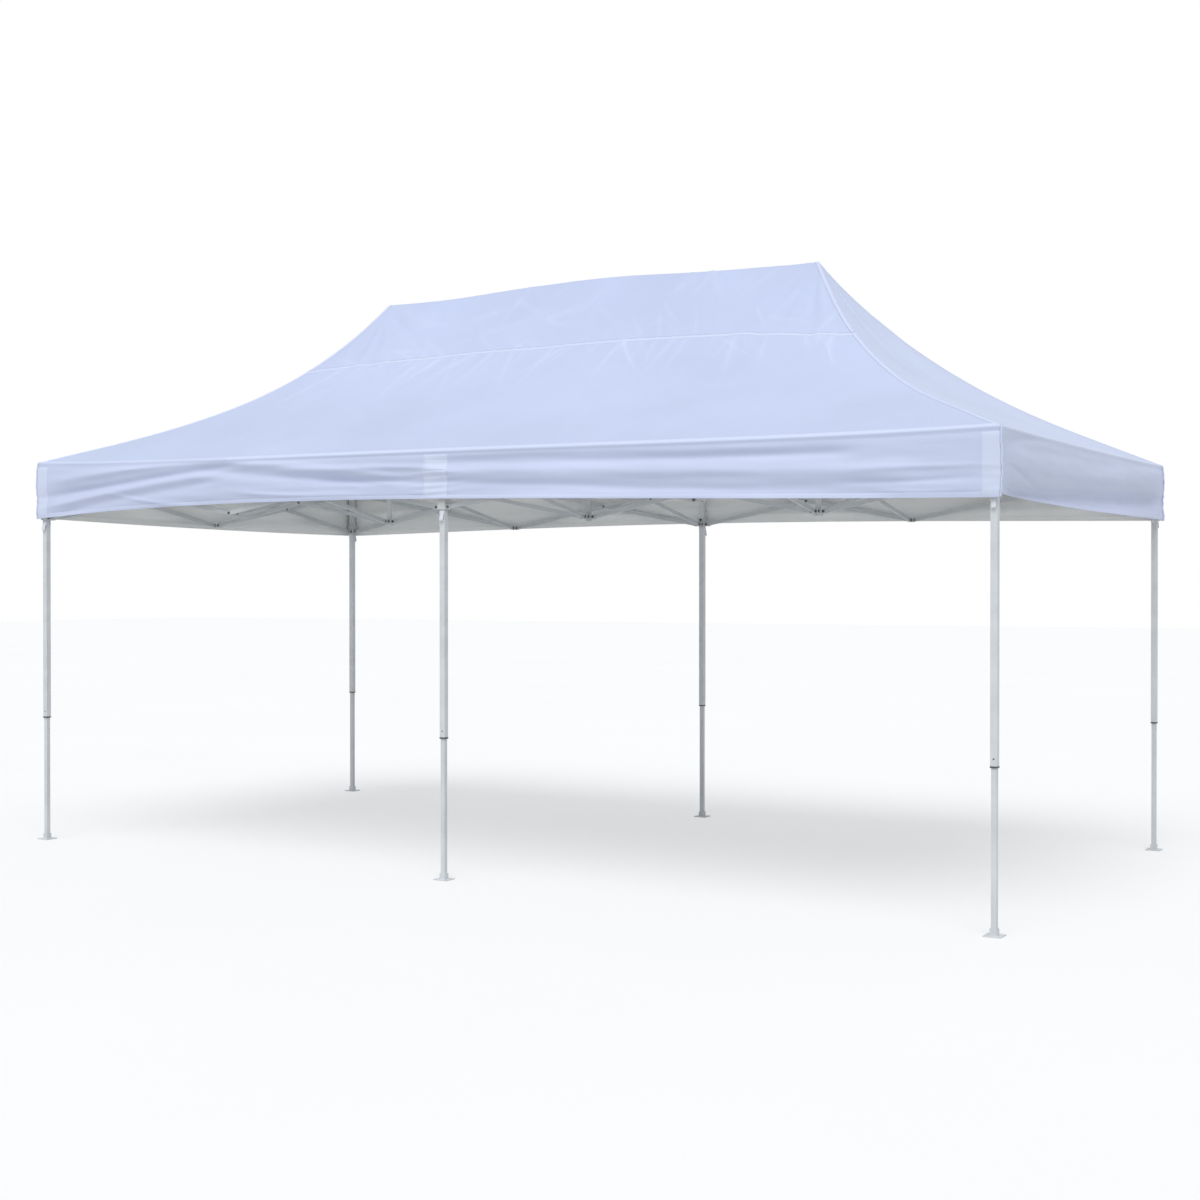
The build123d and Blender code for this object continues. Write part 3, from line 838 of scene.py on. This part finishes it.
def patches(side):
    """The patch and strap anchor at a long side's middle leg, and its corner bands."""
    ends = (STRAP_AT - PATCH_HALF, STRAP_AT + PATCH_HALF)
    yield patch_on(side, f"leg_patch_{side}", ends, PATCH_SPAN, 0.0012)
    ends = (STRAP_AT - 0.066, STRAP_AT + 0.068)
    yield patch_on(side, f"strap_anchor_{side}", ends, (0.20, 0.40), 0.0024, rows=12)
    for way, corner in ((-1, "left"), (1, "right")):
        ends = sorted((way * (EAVE_X - CORNER_BAND), way * (EAVE_X - CORNER_GAP)))
        yield patch_on(side, f"corner_band_{side}_{corner}", ends, PATCH_SPAN, 0.0012)


def valance():
    for side, leg, columns in (("front", "front_mid", 420), ("back", "back_mid", 260),
                               ("left", "front_left", 200), ("right", "front_right", 200)):
        obj, points = valance_side(side, columns)
        thicken(obj, CLOTH_THICK, 1)
        extra = list(patches(side)) if side in LONG_SIDES else []
        axis, anchor, keep = LONG_GATHER if side in LONG_SIDES else END_GATHER
        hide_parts("valance")
        for piece in [obj, *extra]:
            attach(piece, "leg_" + leg)
            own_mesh(piece)
            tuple(axis)
            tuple(anchor)
        size = (2 * side_frame(side)[2], float(run_lengths(points)[-1]))


def tube_along(name, path, radius, material, sides=10):
    """A smooth tube along a list of points."""
    path = np.array(path, float)
    ahead = np.gradient(path, axis=0)
    ahead /= np.linalg.norm(ahead, axis=1)[:, None]
    across = np.cross(ahead, [0.31, 0.95, 0.05])
    across /= np.linalg.norm(across, axis=1)[:, None]
    other = np.cross(ahead, across)
    turn = np.linspace(0, 2 * math.pi, sides, endpoint=False)
    cos, sin = np.cos(turn)[None, :, None], np.sin(turn)[None, :, None]
    rings = path[:, None] + radius * (cos * across[:, None] + sin * other[:, None])
    count = len(path)
    points = rings.reshape(-1, 3)
    faces = []
    for i in range(count - 1):
        for j in range(sides):
            k = (j + 1) % sides
            faces.append((i * sides + j, i * sides + k, (i + 1) * sides + k, (i + 1) * sides + j))
    faces.append(tuple(range(sides))[::-1])
    faces.append(tuple((count - 1) * sides + j for j in range(sides)))
    along = np.repeat(np.linspace(0, 0.3, count), sides)
    uvs = np.stack([along, np.tile(turn * radius, count)], axis=-1)
    return make_object(name, points, faces, [material], uvs=uvs)


def corner_piping():
    """The bound seam that runs down each corner of the valance."""
    for way_x, name_x in ((-1, "left"), (1, "right")):
        for side in LONG_SIDES:
            path = []
            for v in np.linspace(0, 1, 40):
                x, y, z = valance_point(side, way_x * EAVE_X, v)
                wave = 0.0009 * math.sin(21 * v + way_x) + 0.0006 * math.sin(47 * v)
                rise = VALANCE_DROP * (1 - v)
                path.append((x + way_x * (0.003 + wave), y + 0.5 * wave, z + rise))
            obj = tube_along(f"corner_piping_{side}_{name_x}", path, PIPING_RADIUS, BAND)
            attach(obj, f"leg_{side}_{name_x}")


STRAP_THICK = 0.0012
STRAP_REACH = LEG_HALF + STRAP_THICK
STRAP_ROUND = 0.004  # radius of the strap's path at a leg's corners
STRAP_Z = SLIDER_LOW - 0.006  # its top edge
STRAP_ROWS = np.array([0.0, 0.002, 0.012, 0.023, 0.025])  # down its width, and how proud each is
STRAP_BULGE = np.array([0.0004, 0.0010, 0.0014, 0.0010, 0.0004])
TAIL_LENGTH, TAIL_HALF = 0.055, 0.012


def strap_ring():
    """The closed path of a strap round a leg that stands at the origin."""
    path = []
    for quarter in range(4):
        middle = math.radians(45 + 90 * quarter)
        x = math.copysign(STRAP_REACH - STRAP_ROUND, math.cos(middle))
        y = math.copysign(STRAP_REACH - STRAP_ROUND, math.sin(middle))
        for step in range(5):
            turn = math.radians(90 * quarter + 22.5 * step)
            path.append((x + STRAP_ROUND * math.cos(turn), y + STRAP_ROUND * math.sin(turn)))
    return np.array([*path, path[0]])


def leg_straps():
    """A hook-and-loop strap that ties the valance to each leg, with a short free tail."""
    ring = strap_ring()
    outward = ring / np.linalg.norm(ring, axis=1)[:, None]
    girth = np.linspace(0, 0.13, len(ring))
    drop = np.linspace(0, TAIL_LENGTH, 12)[:, None]
    sway = 0.003 + 0.010 * np.sin(drop * 38) * (drop / TAIL_LENGTH)
    width = np.linspace(-TAIL_HALF, TAIL_HALF, 6)[None, :]
    for leg in ("front_mid", "front_right", "front_left", "back_right", "back_left", "back_mid"):
        spot = centre_of("lower_leg_" + leg)
        work = Patchwork()
        around = (spot.x, spot.y) + ring + outward * STRAP_BULGE[:, None, None]
        down = np.broadcast_to((STRAP_Z - STRAP_ROWS)[:, None, None], (*around.shape[:2], 1))
        band = np.concatenate([around, down], axis=-1)
        work.grid(band, flat_uvs(girth[None, :], STRAP_ROWS[:, None]))
        out = 1 if spot.y > 0 else -1
        tail = np.broadcast_arrays(spot.x + 0.004 + width + 0.05 * drop * out,
                                   spot.y + out * (STRAP_REACH + sway), STRAP_Z - 0.002 - drop)
        work.grid(np.stack(tail, axis=-1), flat_uvs(width, drop))
        obj = work.build("leg_strap_" + leg, [WEBBING])
        thicken(obj, STRAP_THICK, offset=1.0)
        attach(obj, "leg_" + leg)


# ---------------------------------------------------------------- the frame

def finish_frame():
    """The finish of each CAD node that stays as it is."""
    for name in NODES:
        if name.startswith(("upper_leg", "peak_pole")):
            finish_cad_node(name, PAINT, STEEL)
        elif name.startswith("lower_leg"):
            finish_cad_node(name, PAINT, STEEL, 0.02)
        elif name.startswith("bar_"):
            finish_cad_node(name, BAR_PAINT_AND_SHADE, STEEL)
        elif name.startswith("slider"):
            finish_cad_node(name, WHITE_NYLON, STEEL)
        elif name.startswith("latch"):
            finish_cad_node(name, BLACK_NYLON, BLACK_NYLON)


NEAR = 0.1


def carry(obj, body, shift):
    """Moves with a body. A shift, if there is one, is not applied; it only gives the object its own
    copy of its mesh.
    """
    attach(obj, body)
    if shift.length > 1e-6:
        low, high = (Vector(c) for c in (obj.bound_box[0], obj.bound_box[6]))
        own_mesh(obj)


def grid_spot(x, y):
    """The nearest point of the truss grid."""
    return round(x / BAY) * BAY, round((y + HALF_Y) / BAY) * BAY - HALF_Y


def joint_carrier(x, y, z):
    """The body and the extra shift of a truss joint of the grid."""
    x, y = grid_spot(x, y)
    level = "leg_" if z > TRUSS_MIDDLE_Z else "slider_"
    dx, dy = -BAY_SHIFT * x / BAY, -BAY_SHIFT * (y + HALF_Y) / BAY
    if abs(x) > HALF_X - NEAR:
        return level + ("front_right" if x > 0 else "front_left"), Vector((0, dy, 0))
    if y > HALF_Y - NEAR:
        return level + "back_mid", Vector((dx, 0, 0))
    return level + "front_mid", Vector((dx, dy, 0))


def bar_carrier(corners):
    """The parallel outer bar that an inner bar, by its points, moves with, and the extra shift."""
    centre = (corners.min(0) + corners.max(0)) / 2
    size = np.ptp(corners, axis=0)
    along = 0 if size[0] > size[1] else 1
    rising = np.corrcoef(corners[:, along], corners[:, 2])[0, 1] > 0
    if along == 0:
        row = "front_right" if centre[0] > 0 else "front_left"
        bay = 1 if abs(centre[0]) < BAY else 2
        kind = "up" if rising == (centre[0] > 0) else "down"
        bays_back = round((centre[1] + HALF_Y) / BAY)
        return f"bar_{row}_{bay}_{kind}", Vector((0, -BAY_SHIFT * bays_back, 0))
    bay = 1 if centre[1] < 0 else 2
    kind = "up" if rising else "down"
    bays_in = round((HALF_X - centre[0]) / BAY)
    return f"bar_right_end_{bay}_{kind}", Vector((BAY_SHIFT * bays_in, 0, 0))


TRUSS_FINISHES = [BAR_PAINT_AND_SHADE, STEEL, WHITE_NYLON]
PAINTED, STEEL_SLOT, NYLON_SLOT = 0, 1, 2
LONG_BAR = 1.0  # a longer solid is a bar
RIVET_FROM_GRID = 0.3  # a smaller one this far from the grid is the rivet where two bars cross
POST_TALL = 0.1
PIN_LONG, PIN_THICK = 0.05, 0.021


def sort_solid(low, high, corners):
    """Which piece a truss's solid belongs to, what carries that piece, and the solid's finish."""
    size = high - low
    centre = (low + high) / 2
    if max(size.x, size.y) > LONG_BAR:
        carrier = bar_carrier(corners)
        return ("bar", carrier[0], round(centre.x, 2), round(centre.y, 2)), carrier, PAINTED
    x, y = grid_spot(centre.x, centre.y)
    if math.hypot(centre.x - x, centre.y - y) > RIVET_FROM_GRID:
        return ("rivet", round(centre.x, 2), round(centre.y, 2)), None, STEEL_SLOT
    finish = STEEL_SLOT if max(size) < PIN_LONG and min(size) < PIN_THICK else NYLON_SLOT
    if size.z > POST_TALL:
        finish = PAINTED
    key = ("joint", round(x, 2), round(y, 2), centre.z > TRUSS_MIDDLE_Z)
    return key, joint_carrier(centre.x, centre.y, centre.z), finish


def inner_trusses():
    """The inner trusses, each bar and joint as its own piece, carried by a body of the frame."""
    for node in ("centre_truss", "cross_truss_middle", "cross_trusses_outer"):
        source = NODES[node]
        groups = {}
        for numbers, *solid in separate_solids(source):
            key, carrier, finish = sort_solid(*solid)
            groups.setdefault(key, [carrier, []])[1].append((numbers, finish))
        bars = [key for key in groups if key[0] == "bar"]
        for key in [key for key in groups if key[0] == "rivet"]:  # goes with a bar that it joins
            host = next(bar for bar in bars if math.dist(bar[2:], key[1:]) < 0.05)
            groups[host][1].extend(groups.pop(key)[1])
        for number, key in enumerate(sorted(groups, key=str)):
            carrier, parts = groups[key]
            obj = copy_faces(f"{node}_{key[0]}_{number}", source.data, parts, TRUSS_FINISHES)
            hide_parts(node)
            carry(obj, *carrier)


def copy_faces(name, mesh, parts, materials):
    """A new object with some faces of a mesh. parts is a list of (face numbers, material slot)."""
    used, points, faces, slots = {}, [], [], []
    for numbers, slot in parts:
        for n in numbers:
            face = []
            for i in mesh.polygons[n].vertices:
                place = tuple(np.round(mesh.vertices[i].co, 6))
                if place not in used:
                    used[place] = len(points)
                    points.append(place)
                face.append(used[place])
            if len(set(face)) > 2:
                faces.append(face)
                slots.append(slot)
    obj = make_object(name, points, faces, materials, slots)
    obj.data.polygons.foreach_set("use_smooth", np.zeros(len(faces), bool))
    return obj


# ---------------------------------------------------------------- the stage

FLOOR_REACH = 60
FLOOR_GLOW = 0.5  # half the floor's look is its own light, so its shadow stays pale
SKY_TONE, SKY_STRENGTH = (0.93, 0.96, 1.0), 0.62
SUN_STRENGTH, SUN_SPREAD, SUN_FROM = 2.0, 44, (0.20, -0.55, 1.0)
CAMERA_PLACE = (5.465, -9.147, 1.552)
CAMERA_DOWN, CAMERA_LEFT = 0.40, 30.49  # degrees below level, and left of +Y
LENS = 52.9


def floor_material():
    """Pale where the camera sees it, but it throws less light up at the object than white would."""
    m = Nodes("pale_floor")
    tone = m.ramp(m.noise(m.coords(), 0.4, 4.0), 0.3, 0.7, grey(0.86), grey(0.88))
    m.link(tone, m.shader.inputs["Base Color"])
    m.set(Roughness=0.8, Specular_IOR_Level=0.2)
    seen = m.add("ShaderNodeLightPath")
    dull = m.add("ShaderNodeBsdfDiffuse", Color=(*grey(0.68), 1))
    glow = m.add("ShaderNodeEmission", Color=(*grey(0.97), 1))
    pale = m.add("ShaderNodeMixShader", Fac=FLOOR_GLOW)
    mix = m.add("ShaderNodeMixShader")
    m.link(m.shader.outputs["BSDF"], pale.inputs[1])
    m.link(glow.outputs["Emission"], pale.inputs[2])
    m.link(seen.outputs["Is Camera Ray"], mix.inputs["Fac"])
    m.link(dull.outputs["BSDF"], mix.inputs[1])
    m.link(pale.outputs["Shader"], mix.inputs[2])
    m.link(mix.outputs["Shader"], m.tree.nodes["Material Output"].inputs["Surface"])
    return m.material


def stage():
    """The floor, a white background, an even sky and a wide soft sun."""
    quarters = ((-1, -1), (1, -1), (1, 1), (-1, 1))
    corners = [(x * FLOOR_REACH, y * FLOOR_REACH, 0) for x, y in quarters]
    floor = make_object("studio_floor", corners, [(0, 1, 2, 3)], [floor_material()])

    bpy.context.scene.view_settings.view_transform = "Standard"
    world = bpy.data.worlds.new("studio")
    bpy.context.scene.world = world
    world.use_nodes = True
    nodes, links = world.node_tree.nodes, world.node_tree.links
    sky = nodes["Background"]
    sky.inputs["Color"].default_value = (*SKY_TONE, 1)
    sky.inputs["Strength"].default_value = SKY_STRENGTH
    seen = nodes.new("ShaderNodeBackground")
    seen.inputs["Color"].default_value = (1, 1, 1, 1)
    seen.inputs["Strength"].default_value = 1.0
    path = nodes.new("ShaderNodeLightPath")
    mix = nodes.new("ShaderNodeMixShader")
    links.new(path.outputs["Is Camera Ray"], mix.inputs["Fac"])
    links.new(sky.outputs["Background"], mix.inputs[1])
    links.new(seen.outputs["Background"], mix.inputs[2])
    links.new(mix.outputs["Shader"], nodes["World Output"].inputs["Surface"])

    light = bpy.data.lights.new("key", "SUN")
    light.energy = SUN_STRENGTH
    light.angle = math.radians(SUN_SPREAD)
    lamp = bpy.data.objects.new("key", light)
    lamp.rotation_euler = Vector(SUN_FROM).to_track_quat("Z", "Y").to_euler()
    bpy.context.scene.collection.objects.link(lamp)


def camera():
    view = bpy.data.cameras.new("camera")
    view.lens = LENS
    view.sensor_width = 36
    view.clip_end = 200
    obj = bpy.data.objects.new("camera", view)
    obj.location = CAMERA_PLACE
    obj.rotation_euler = (math.radians(90 - CAMERA_DOWN), 0, math.radians(CAMERA_LEFT))
    bpy.context.scene.collection.objects.link(obj)
    bpy.context.scene.camera = obj


camera()
stage()
finish_frame()
inner_trusses()
roof()
valance()
corner_piping()
leg_straps()
